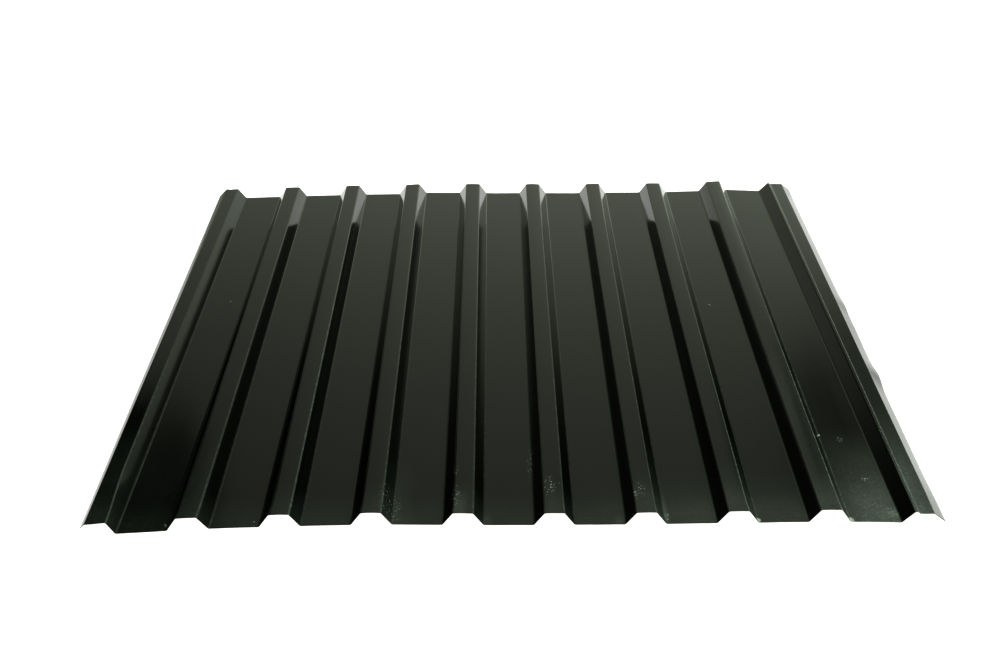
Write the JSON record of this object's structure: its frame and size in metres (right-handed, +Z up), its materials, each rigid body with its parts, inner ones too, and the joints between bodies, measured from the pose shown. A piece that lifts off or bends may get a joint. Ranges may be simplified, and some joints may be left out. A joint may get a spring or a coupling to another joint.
{
  "type": "trapezoidal corrugated metal sheet",
  "caption": "Coated steel roofing and cladding sheet with box ribs and flat pans, a short lip on one long edge and a lower grooved rib with a free leg on the other, for side laps.",
  "frame": {"origin": "centre of the sheet's bounding box, on the plane the pans lie on", "axes": "+X across the ribs, from the short-lip edge to the free-leg edge; +Y along the ribs; +Z up, out of the coated upper face"},
  "size_m": [1.1486, 1, 0.0205],
  "materials": {
    "coated_steel": "semi-gloss"
  },
  "bodies": {
    "root": {"profiled_sheet": "coated_steel"}
  },
  "joints": []
}
